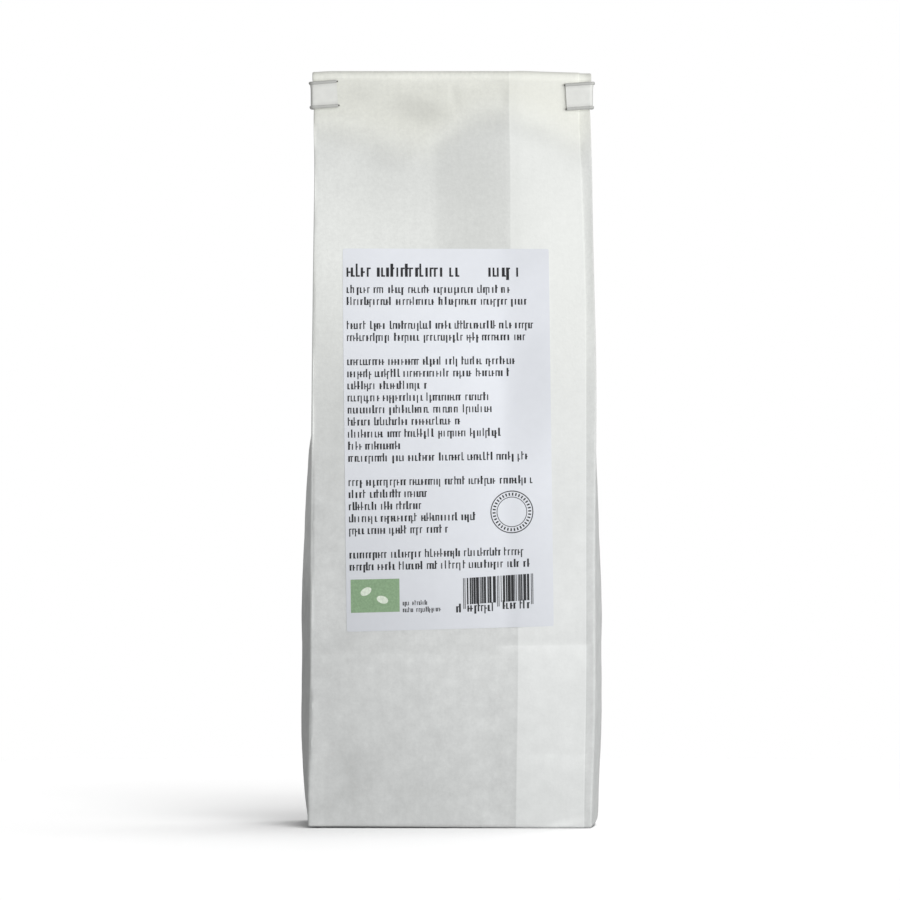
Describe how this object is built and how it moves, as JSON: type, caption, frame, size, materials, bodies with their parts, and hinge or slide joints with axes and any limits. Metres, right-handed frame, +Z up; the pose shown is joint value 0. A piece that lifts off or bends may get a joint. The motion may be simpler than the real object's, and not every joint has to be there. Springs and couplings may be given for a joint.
{
  "type": "paper bag of dried mung beans",
  "caption": "Tall gusseted block-bottom paper bag of dried mung beans, standing, turned over at the top and held shut by a tin tie, with a plain stick-on label.",
  "frame": {"origin": "centre of the bag's rectangular base, on the surface that the bag stands on", "axes": "+Z up; the labelled face with the lap seam looks along -Y; +X is to the right of someone who looks at that face; the turned-over end and the tie's strip are on the +Y side"},
  "size_m": [0.1077, 0.0697, 0.27],
  "materials": {
    "bag_paper": "bleached, matt, slightly translucent",
    "beans": "satin seed coat",
    "tie_film": "satin white film",
    "tie_wire": "drawn, dull",
    "label_paper": "smooth, matt"
  },
  "bodies": {
    "root": {"paper_bag": "bag_paper", "mung_beans": "beans", "tie_strip": "tie_film", "tie_wire_upper": "tie_wire", "tie_wire_lower": "tie_wire", "label": "label_paper"}
  },
  "joints": []
}
